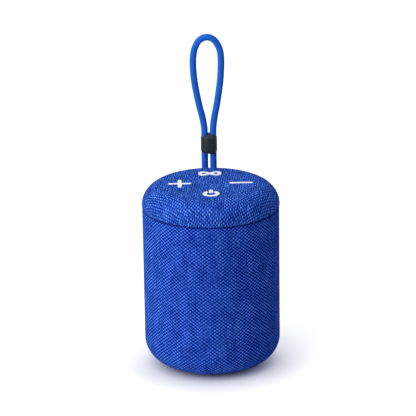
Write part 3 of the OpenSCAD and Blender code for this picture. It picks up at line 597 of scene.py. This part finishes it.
def sweep_tree():
    """Geometry nodes that turn a profile round the Z axis and give it a map in metres."""
    tree = bpy.data.node_groups.new("Turned cloth", "GeometryNodeTree")
    face = tree.interface
    face.new_socket("Profile", in_out="INPUT", socket_type="NodeSocketGeometry")
    for name, kind, default in (
        ("Steps round", "NodeSocketInt", 216),
        ("Radius", "NodeSocketFloat", BODY_R),
        ("Wander", "NodeSocketFloat", 0.0),
        ("Seam height", "NodeSocketFloat", SIDE_HI.z),
        ("Seed", "NodeSocketFloat", 3.0),
    ):
        face.new_socket(name, in_out="INPUT", socket_type=kind).default_value = default
    face.new_socket("Material", in_out="INPUT", socket_type="NodeSocketMaterial")
    face.new_socket("Cloth", in_out="OUTPUT", socket_type="NodeSocketGeometry")
    build = Build(tree)
    entry = tree.nodes.new("NodeGroupInput")
    given = {socket.name: Wire(build, socket) for socket in entry.outputs}
    count = build.node("GeometryNodeAttributeDomainSize", {}, [given["Profile"]])
    grid = build.node("GeometryNodeMeshGrid", {}, {"Vertices X": given["Steps round"] + 1, "Vertices Y": count})
    index = build.node("GeometryNodeInputIndex")
    row = index % count
    column = (index / count).math("FLOOR")
    point = build.node("GeometryNodeSampleIndex", {"data_type": "FLOAT_VECTOR"}, {
        "Geometry": given["Profile"], "Value": build.node("GeometryNodeInputPosition"), "Index": row})
    r, along, z = build.parts(point)
    turn = column / given["Steps round"] * (2 * math.pi)
    spin = build.node("ShaderNodeCombineXYZ", {}, [turn.math("COSINE"), turn.math("SINE"), given["Seed"]])
    waver = build.node("ShaderNodeTexNoise", {}, {"Vector": spin, "Scale": 9.0, "Detail": 3.0}) - 0.5
    near = build.node("ShaderNodeMapRange", {"interpolation_type": "SMOOTHSTEP"}, {
        "Value": (z - given["Seam height"]).math("ABSOLUTE"), "From Min": 0.0, "From Max": 3 * MM,
        "To Min": 1.0, "To Max": 0.0})
    shifted = z - (waver + 0.5) * near * given["Wander"]
    place = build.node("ShaderNodeCombineXYZ", {}, [r * turn.math("COSINE"), r * turn.math("SINE"), shifted])
    turned = build.node("GeometryNodeSetPosition", {}, {"Geometry": grid, "Position": place})
    spot = build.node("ShaderNodeCombineXYZ", {}, [turn * given["Radius"], along, 0.0])
    held = build.node("GeometryNodeFieldOnDomain", {"data_type": "FLOAT_VECTOR", "domain": "POINT"}, [spot])
    mapped = build.node("GeometryNodeStoreNamedAttribute", {"data_type": "FLOAT2", "domain": "CORNER"}, {
        "Geometry": turned, "Name": "thread_map", "Value": held})
    closed = build.node("GeometryNodeMergeByDistance", {}, {"Geometry": mapped, "Distance": 0.002 * MM})
    smooth = build.node("GeometryNodeSetShadeSmooth", {}, [closed])
    real = build.node("GeometryNodeRealizeInstances", {}, [smooth])
    coloured = build.node("GeometryNodeSetMaterial", {}, {"Geometry": real, "Material": given["Material"]})
    leave = tree.nodes.new("NodeGroupOutput")
    tree.links.new(coloured.socket, leave.inputs[0])
    return tree


def turned_cloth(name, profile, material, cloth, wander, seam):
    """A closed profile turned round the Z axis; the profile's y holds its length so far."""
    along = 0.0
    points = []
    for i, (r, z) in enumerate(profile + profile[:1]):
        if i:
            along += math.dist((r, z), profile[i - 1])
        points.append((r, along, z))
    mesh = bpy.data.meshes.new(name)
    mesh.from_pydata(points, [], [])
    obj = link_to_scene(bpy.data.objects.new(name, mesh))
    tree = sweep_tree()
    modifier = obj.modifiers.new("turned", "NODES")
    modifier.node_group = tree
    values = {"Steps round": cloth.steps, "Radius": BODY_R, "Wander": wander, "Seam height": seam,
              "Material": material}
    for item in tree.interface.items_tree:
        if item.in_out == "INPUT" and item.name in values:
            modifier[item.identifier] = values[item.name]
    return evaluated(obj, name)


def crown_spot(x, y, cloth, depth=0.0):
    """Place on the crown of a point of the flat cloth, whose distance from the middle is kept."""
    along = math.hypot(x, y)
    flat = BODY_R - cloth.crown_round
    bend = cloth.crown_round * math.pi / 2
    turn = min(max(along - flat, 0.0), bend) / cloth.crown_round
    drop = max(along - flat - bend, 0.0)
    low = CROWN_HI.z - cloth.crown_round - CROWN_LO.z - cloth.lip
    into_roll = min(max((drop - low + HEM_ROLL) / HEM_ROLL, 0.0), 1.0)
    roll = cloth.roll * math.sin(into_roll * math.pi / 2) ** 2
    r = min(along, flat) + (cloth.crown_round - depth) * math.sin(turn) + (roll if depth == 0.0 else 0.0)
    z = CROWN_HI.z - cloth.crown_round + (cloth.crown_round - depth) * math.cos(turn) - drop
    away = Vector((x, y)) / along if along else Vector((0.0, 0.0))
    return Vector((away.x * r, away.y * r, z))


def key_rise(x, y, keys):
    """Height of the cloth over a key at a point of the flat cloth."""
    away = min(math.dist((x, y), centre) for centre in KEY_AT.values())
    t = min(max((keys.patch - away) / (keys.patch - keys.plateau), 0.0), 1.0)
    return (KEY_TOP - CROWN_HI.z) * t * t * (3 - 2 * t)


def cloth_points(spots, cloth, keys):
    """Upper and lower points of the crown cloth over spots of the flat cloth."""
    upper = [crown_spot(x, y, cloth) + Vector((0, 0, key_rise(x, y, keys))) for x, y in spots]
    lower = [crown_spot(x, y, cloth, cloth.thickness) for x, y in spots]
    return upper, lower


def circle(centre, radius, steps):
    turns = [2 * math.pi * i / steps for i in range(steps)]
    return [(centre[0] + radius * math.cos(a), centre[1] + radius * math.sin(a)) for a in turns]


def crown_reach(cloth):
    """Radius of the flat cut of the crown cloth."""
    bend = cloth.crown_round * (math.pi / 2 - 1)
    return BODY_R + bend + CROWN_HI.z - cloth.crown_round - CROWN_LO.z


def crown_sheet(cloth, keys, material):
    """The crown cloth round the key patches: a flat cut with four round openings, laid over the crown."""
    ring_steps = cloth.steps
    edge = crown_reach(cloth) - cloth.lip
    rings, hem_rows = 46, 9
    fine_from = 24 * MM     # rings inside this radius have half the points
    spots = [(0.0, 0.0)]
    for i in range(1, rings):
        radius = edge * i / rings
        count = ring_steps if radius > fine_from else ring_steps // 2
        spots += circle((0, 0), radius, count)
    centres = list(KEY_AT.values())
    clear = keys.patch + PATCH_CLEAR
    spots = [s for s in spots if all(math.dist(s, c) > clear for c in centres)]
    edges = []
    for outline in [circle((0, 0), edge, ring_steps)] + [circle(c, keys.patch, PATCH_STEPS) for c in centres]:
        first = len(spots)
        spots += outline
        edges += [(first + i, first + (i + 1) % len(outline)) for i in range(len(outline))]
    flat, _, faces, *_ = delaunay_2d_cdt([Vector(s) for s in spots], edges, [], 1, 1e-7)
    flat = [tuple(s) for s in flat]

    def inside_patch(face):
        middle = sum((Vector(flat[i]) for i in face), Vector((0, 0))) / len(face)
        return any((middle - c).length < keys.patch * math.cos(math.pi / PATCH_STEPS) for c in centres)

    faces = [tuple(f) for f in faces if not inside_patch(f)]
    upper, lower = cloth_points(flat, cloth, keys)
    n = len(flat)
    points = upper + lower
    skin = faces + [tuple(n + i for i in reversed(f)) for f in faces]
    border = dict.fromkeys((a, b) for f in faces for a, b in zip(f, f[1:] + f[:1]))
    rim = [(a, b) for a, b in border if (b, a) not in border]
    outer = {i for i, s in enumerate(flat) if abs(math.hypot(*s) - edge) < 0.01 * MM}
    hole_walls = [(b, a, n + a, n + b) for a, b in rim if a not in outer]
    extra_spots = []
    rows = {i: [i] for i in outer}
    for i in outer:
        base, back = Vector(points[i]), Vector(points[n + i])
        away = Vector((base.x, base.y, 0)).normalized()
        middle, depth = (base + back) / 2, (base - back).length / 2
        wave = math.sin(away.x * 23 + away.y * 9) + 0.7 * math.sin(away.x * 57 - away.y * 71)
        lift = Vector((0, 0, cloth.wander * 0.3 * (1 + wave)))
        for k in range(1, hem_rows):
            a = math.pi * k / hem_rows
            points.append(middle + away * math.cos(a) * depth - Vector((0, 0, math.sin(a) * cloth.lip)) + lift)
            extra_spots.append(tuple(Vector(flat[i]) * (1 + cloth.lip * a / edge)))
            rows[i].append(len(points) - 1)
        rows[i].append(n + i)
    hem_faces = []
    for a, b in rim:
        if a in outer:
            hem_faces += [(rows[b][k], rows[a][k], rows[a][k + 1], rows[b][k + 1]) for k in range(hem_rows)]
    spots_all = flat + flat + extra_spots
    obj = mesh_object("crown_cap", points, skin + hole_walls + hem_faces, material)
    map_faces(obj, "thread_map", lambda i: spots_all[i])
    return obj


def key_patch(key, cloth, keys, material):
    """The round of cloth over one key."""
    centre = KEY_AT[key]
    rings = 22
    spots = [tuple(centre)]
    for i in range(1, rings + 1):
        spots += circle(centre, keys.patch * i / rings, PATCH_STEPS)
    upper, lower = cloth_points(spots, cloth, keys)
    n = len(spots)

    def row(i):
        return 1 + i * PATCH_STEPS

    faces = [(0, row(0) + j, row(0) + (j + 1) % PATCH_STEPS) for j in range(PATCH_STEPS)]
    for i in range(rings - 1):
        for j in range(PATCH_STEPS):
            k = (j + 1) % PATCH_STEPS
            faces.append((row(i) + j, row(i + 1) + j, row(i + 1) + k, row(i) + k))
    under = [tuple(n + i for i in reversed(f)) for f in faces]
    last = row(rings - 1)
    wall = [(last + j, n + last + j, n + last + (j + 1) % PATCH_STEPS, last + (j + 1) % PATCH_STEPS)
            for j in range(PATCH_STEPS)]
    obj = mesh_object(f"key_patch_{key}", upper + lower, faces + under + wall, material)
    map_faces(obj, "thread_map", lambda i: spots[i % n])
    return obj


# ---------------------------------------------------------------- lanyard


def smooth_route(steps=6):
    """The lanyard's middle line through its route, as points in metres."""
    knots = [Vector((x * MM, CORD_BACK, CROWN_HI.z + z * MM)) for x, z in ROUTE]
    knots = [2 * knots[0] - knots[1]] + knots + [2 * knots[-1] - knots[-2]]
    line = []
    for a, b, c, d in zip(knots, knots[1:], knots[2:], knots[3:]):
        for i in range(steps):
            t = i / steps
            bend = (2 * a - 5 * b + 4 * c - d) * t**2
            line.append(0.5 * (2 * b + (c - a) * t + bend + (3 * b - a - 3 * c + d) * t**3))
    line.append(knots[-2])
    return line


def cord_tube(name, line, radius, sides, material):
    """A closed tube along a line that lies in one upright plane."""
    across = Vector((0, 1, 0))
    points, spots, along = [], [], 0.0
    for i, p in enumerate(line):
        run = (line[min(i + 1, len(line) - 1)] - line[max(i - 1, 0)]).normalized()
        out = across.cross(run)
        if i:
            along += (p - line[i - 1]).length
        for k in range(sides + 1):
            a = 2 * math.pi * k / sides
            points.append(p + radius * (math.cos(a) * out + math.sin(a) * across))
            spots.append((radius * a, along))
    n = sides + 1
    faces = []
    for i in range(len(line) - 1):
        for k in range(sides):
            faces.append((i * n + k, (i + 1) * n + k, (i + 1) * n + k + 1, i * n + k + 1))
    last = (len(line) - 1) * n
    faces.append(tuple(range(sides)))
    faces.append(tuple(reversed(range(last, last + sides))))
    obj = mesh_object(name, points, faces, material)
    map_faces(obj, "thread_map", lambda i: spots[i])
    shape = bmesh.new()
    shape.from_mesh(obj.data)
    bmesh.ops.remove_doubles(shape, verts=shape.verts, dist=0.001 * MM)
    bmesh.ops.recalc_face_normals(shape, faces=shape.faces)
    shape.to_mesh(obj.data)
    shape.free()
    return obj


def bead_body(material):
    """Rounded block with slanted corners, soft all round."""
    lo, hi = BEAD_LO, BEAD_HI
    w, d = (hi.x - lo.x) / 2, (hi.y - lo.y) / 2
    middle = (lo + hi) / 2
    half = [(-w, -0.40 * d), (-0.22 * w, -d), (0.60 * w, -d), (w, -0.50 * d)]
    outline = half + [(-x, -y) for x, y in half]
    inset = 1.5 * MM
    layers = [(0.76, lo.z), (1.0, lo.z + inset), (1.0, hi.z - 1.3 * inset), (0.66, hi.z)]
    n = len(outline)
    top = (len(layers) - 1) * n
    points = [(middle.x + x * s, middle.y + y * s, z) for s, z in layers for x, y in outline]
    faces = [tuple(reversed(range(n))), tuple(range(top, top + n))]
    for i in range(len(layers) - 1):
        faces += [(i * n + k, i * n + (k + 1) % n, (i + 1) * n + (k + 1) % n, (i + 1) * n + k) for k in range(n)]
    obj = mesh_object("bead", points, faces, material)
    bevel = obj.modifiers.new("soft edges", "BEVEL")
    bevel.width = 0.7 * MM
    bevel.segments = 4
    bevel.harden_normals = True
    return evaluated(obj, "bead")


def strand_bores(y, radius, steps, lo, hi, material):
    """Cutters for the holes that the two strands go through."""
    bores = []
    for x in STRANDS:
        points, faces = prism(circle((x, y), radius, steps), lo, hi)
        bores.append(mesh_object("bore", points, faces, material))
    return bores


# ---------------------------------------------------------------- operators


def dress(node, material):
    """Gives a CAD node its finish."""
    mesh = frame["nodes"][node].data
    mesh.materials.clear()
    mesh.materials.append(material)


def seen_rays(build):
    """1 for what the camera sees by itself, in a gloss or through glass, and 0 for light on the pieces."""
    kinds = ("Is Camera Ray", "Is Glossy Ray", "Is Transmission Ray")
    straight, gloss, through = (build.node("ShaderNodeLightPath", {}, out=kind) for kind in kinds)
    return straight.math("MAXIMUM", gloss).math("MAXIMUM", through)


FLOOR_TINT = (1.5, 1.45, 1.2)           # how fast the floor's painted shade darkens red, green and blue
SHADE_TURN = (-35 * MM, 15 * MM)        # from front to back, where that shade grows weaker
BACKDROP_TURN = (0.2, 1.2)              # from the middle outwards, where the floor becomes all backdrop


class SPEAKER_OT_studio(bpy.types.Operator):
    """Set up the floor, the lamps and the camera"""

    bl_idname = "speaker.studio"
    bl_label = "Studio"

    def execute(self, context):
        studio = context.scene.speaker_studio
        self.camera(context, studio)
        self.lamps(context, studio)
        self.floor(studio)
        return {"FINISHED"}

    def camera(self, context, studio):
        data = bpy.data.cameras.new("camera")
        data.lens = studio.lens
        data.clip_end = 20
        camera = link_to_scene(bpy.data.objects.new("camera", data))
        middle = Vector((0, 0, CAD_BOUNDS[0][2] + (CROWN_HI.z - CAD_BOUNDS[0][2]) / 2))
        flat = math.cos(studio.elevation)
        back = Vector((math.sin(studio.azimuth) * flat, -math.cos(studio.azimuth) * flat,
                       math.sin(studio.elevation)))
        camera.location = middle + back * studio.distance
        look = (-back).to_track_quat("-Z", "Y").to_matrix()
        aim = Euler((studio.tilt, studio.turn, 0)).to_matrix()
        lean = Matrix.Rotation(studio.roll, 3, "Z")
        camera.rotation_euler = (look @ lean @ aim).to_euler()
        context.scene.camera = camera

    def lamps(self, context, studio):
        target = Vector((0, 0, 0.07))
        for name, power, size, place in (
            ("key", studio.key_power, 1.3, (-1.05, -0.72, 0.85)),
            ("fill", studio.fill_power, 1.2, (-0.1, -0.1, 1.35)),
        ):
            data = bpy.data.lights.new(name, "AREA")
            data.energy = power
            data.size = size
            lamp = link_to_scene(bpy.data.objects.new(name, data))
            lamp.location = place
            lamp.rotation_euler = (target - lamp.location).to_track_quat("-Z", "Y").to_euler()
        world = bpy.data.worlds.new("room")
        world.use_nodes = True
        tree = world.node_tree
        build = Build(tree)
        seen = seen_rays(build)
        room = build.node("ShaderNodeMix", {"data_type": "RGBA"}, {
            "Factor_Float": seen, "A_Color": rgba(studio.room_colour, studio.room), "B_Color": (1, 1, 1, 1)},
            "Result_Color")
        tree.links.new(room.socket, tree.nodes["Background"].inputs["Color"])
        context.scene.world = world
        context.scene.view_settings.view_transform = "Standard"

    def floor(self, studio):
        def surface(build):
            seen = seen_rays(build)
            lit = build.mix(seen, rgba(studio.floor_colour), rgba(studio.floor_colour, studio.floor_seen))
            matt = build.node("ShaderNodeBsdfDiffuse", {}, {"Color": lit})
            # painted shadow: the shade round the foot is painted into the backdrop's emitted white, from how much open
            # sky each point sees within shade_reach, deeper in front of the foot than behind it
            open_sky = build.node("ShaderNodeAmbientOcclusion", {"samples": 16}, {"Distance": studio.shade_reach}, "AO")
            place = build.node("ShaderNodeTexCoord", {}, out="Object")
            _, depth, _ = build.parts(place)
            near = build.node("ShaderNodeMapRange", {"interpolation_type": "SMOOTHSTEP"}, {
                "Value": depth, "From Min": SHADE_TURN[0], "From Max": SHADE_TURN[1],
                "To Min": 1.0, "To Max": studio.shade_behind})
            shade = build.node("ShaderNodeCombineColor", {}, [open_sky ** (near * power) for power in FLOOR_TINT])
            backdrop = build.node("ShaderNodeEmission", {}, {"Color": shade, "Strength": studio.backdrop})
            away = build.node("ShaderNodeVectorMath", {"operation": "LENGTH"}, [place], "Value")
            share = build.node("ShaderNodeMapRange", {"interpolation_type": "SMOOTHSTEP"}, {
                "Value": away, "From Min": BACKDROP_TURN[0], "From Max": BACKDROP_TURN[1],
                "To Min": studio.backdrop_share, "To Max": 1.0})
            return build.node("ShaderNodeMixShader", {}, {0: seen * share, 1: matt, 2: backdrop})

        paper = finish_material("paper", surface)
        floor = mesh_object("floor", *prism(oblong(8, 8), -20 * MM, CAD_BOUNDS[0][2]), paper, smooth=False)


class SPEAKER_OT_lanyard(bpy.types.Operator):
    """Make the wrist lanyard: its braided cord and its bead"""

    bl_idname = "speaker.lanyard"
    bl_label = "Lanyard"

    def execute(self, context):
        lanyard = context.scene.speaker_lanyard
        radius = lanyard.cord / 2
        line = smooth_route()
        cloth = braid("braided cord", lanyard.cord_colour, "thread_map", 2 * math.pi * radius)
        cord = cord_tube("lanyard", line, radius, lanyard.sides, cloth)
        bead = bead_body(moulded("bead plastic", lanyard.bead_colour, 0.66, 500.0, 0.08, specular=0.28))
        cut_away(bead, *strand_bores(line[0].y, radius + BEAD_BORE_CLEAR, 32, BEAD_LO.z - BORE_OVER,
                                     BEAD_HI.z + BORE_OVER, bead.data.materials[0]))
        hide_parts("lanyard_bead")
        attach(bead, "bead")
        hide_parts("lanyard_cord")
        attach(cord, "root")
        whole = sum((b - a).length for a, b in zip(line, line[1:]))
        return {"FINISHED"}


class SPEAKER_OT_side_sleeve(bpy.types.Operator):
    """Make the woven cloth round the body, with its hem at the seam and its opening for the ports"""

    bl_idname = "speaker.side_sleeve"
    bl_label = "Side sleeve"

    def execute(self, context):
        cloth = context.scene.speaker_cloth
        fabric = woven_cloth("side cloth", "thread_map", cloth.side_pitch, cloth.side_rise, cloth.light, cloth.dark,
                             1.3, 0.0, (0.05, 0.8))
        profile = sleeve_profile(cloth)
        sleeve = turned_cloth("side_sleeve", profile, fabric, cloth, cloth.wander, SIDE_HI.z)
        lo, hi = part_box("port_bezel")
        outline = oblong(hi.x - lo.x + 2 * PORT_CLEAR, hi.z - lo.z + 2 * PORT_CLEAR)
        points, faces = prism(outline, -(BODY_R + 10 * MM), -20 * MM)
        middle = (lo + hi) / 2
        points = [(x + middle.x, -z, y + middle.z) for x, y, z in points]
        opening = mesh_object("opening", points, faces, fabric)
        cut_away(sleeve, opening)
        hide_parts("side_cloth")
        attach(sleeve, "root")
        return {"FINISHED"}


class SPEAKER_OT_crown(bpy.types.Operator):
    """Make the crown cloth and the four rounds of it over the keys"""

    bl_idname = "speaker.crown"
    bl_label = "Crown and keys"

    def execute(self, context):
        scene = context.scene
        cloth, keys, lanyard = scene.speaker_cloth, scene.speaker_keys, scene.speaker_lanyard
        fabric = woven_cloth("crown cloth", "thread_map", cloth.crown_pitch, cloth.crown_rise, cloth.crown_light,
                             cloth.dark, 1.05, 0.20, (0.2, 1.8), 0.80)
        cap = crown_sheet(cloth, keys, fabric)
        cut_away(cap, *strand_bores(CORD_BACK, lanyard.cord / 2 + CROWN_BORE_CLEAR, 40, CROWN_LO.z,
                                    CROWN_HI.z + MM, fabric))
        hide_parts("crown_cloth")
        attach(cap, "root")
        across = 2 * crown_reach(cloth)
        holes = len(KEYS) * math.pi * keys.patch**2
        math.pi * across**2 / 4 - holes
        film = print_film("sign print", keys.print_colour, cloth.crown_pitch, cloth.crown_rise)
        for key in KEYS:
            patch = key_patch(key, cloth, keys, fabric)
            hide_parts(f"key_cloth_{key}")
            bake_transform(patch)
            dress(f"sign_{key}", film)
        return {"FINISHED"}


class SPEAKER_OT_mouldings(bpy.types.Operator):
    """Give every construction piece the finish of its material"""

    bl_idname = "speaker.mouldings"
    bl_label = "Mouldings and works"

    def execute(self, context):
        finishes = {
            "moulding": moulded("black moulding", (0.020, 0.021, 0.024), 0.5),
            "rubber": moulded("black rubber", (0.016, 0.016, 0.018), 0.72, 1400.0, 0.04),
            "foam": foam("gasket foam", (0.03, 0.03, 0.03)),
            "board": circuit_board("solder mask", (0.010, 0.085, 0.035)),
            "steel": drawn_metal("plated steel", (0.62, 0.62, 0.64), 0.34, 900.0),
            "ferrite": moulded("ferrite", (0.055, 0.055, 0.060), 0.6, 2200.0, 0.03),
            "cone_paper": pulp("cone paper", (0.03, 0.03, 0.034)),
            "copper": wound_wire("copper wire", (0.75, 0.32, 0.15)),
            "cell_wrap": moulded("cell wrap", (0.045, 0.30, 0.16), 0.28, 300.0, 0.01, 0.3),
        }
        for part in frame["record"]["subparts"]:
            finish = finishes.get(part["material_slot"])
            if finish:
                dress(part["node"], finish)
        return {"FINISHED"}


class SPEAKER_PT_panel(bpy.types.Panel):
    """Lists the pieces of the speaker"""

    bl_idname = "SPEAKER_PT_panel"
    bl_label = "Speaker"
    bl_space_type = "VIEW_3D"
    bl_region_type = "UI"
    bl_category = "Speaker"

    def draw(self, context):
        for piece in PIECES:
            self.layout.operator(piece.bl_idname)


PIECES = (SPEAKER_OT_studio, SPEAKER_OT_lanyard, SPEAKER_OT_side_sleeve, SPEAKER_OT_crown, SPEAKER_OT_mouldings)
GROUPS = {
    "speaker_cloth": SPEAKER_PG_cloth,
    "speaker_keys": SPEAKER_PG_keys,
    "speaker_lanyard": SPEAKER_PG_lanyard,
    "speaker_studio": SPEAKER_PG_studio,
}


def register():
    for name, group in GROUPS.items():
        bpy.utils.register_class(group)
        setattr(bpy.types.Scene, name, PointerProperty(type=group))
    for piece in (*PIECES, SPEAKER_PT_panel):
        bpy.utils.register_class(piece)


def unregister():
    for piece in reversed((*PIECES, SPEAKER_PT_panel)):
        bpy.utils.unregister_class(piece)
    for name, group in GROUPS.items():
        delattr(bpy.types.Scene, name)
        bpy.utils.unregister_class(group)


def main():
    register()
    bpy.ops.speaker.studio()
    bpy.ops.speaker.lanyard()
    bpy.ops.speaker.side_sleeve()
    bpy.ops.speaker.crown()
    bpy.ops.speaker.mouldings()


if __name__ == "__main__":
    main()
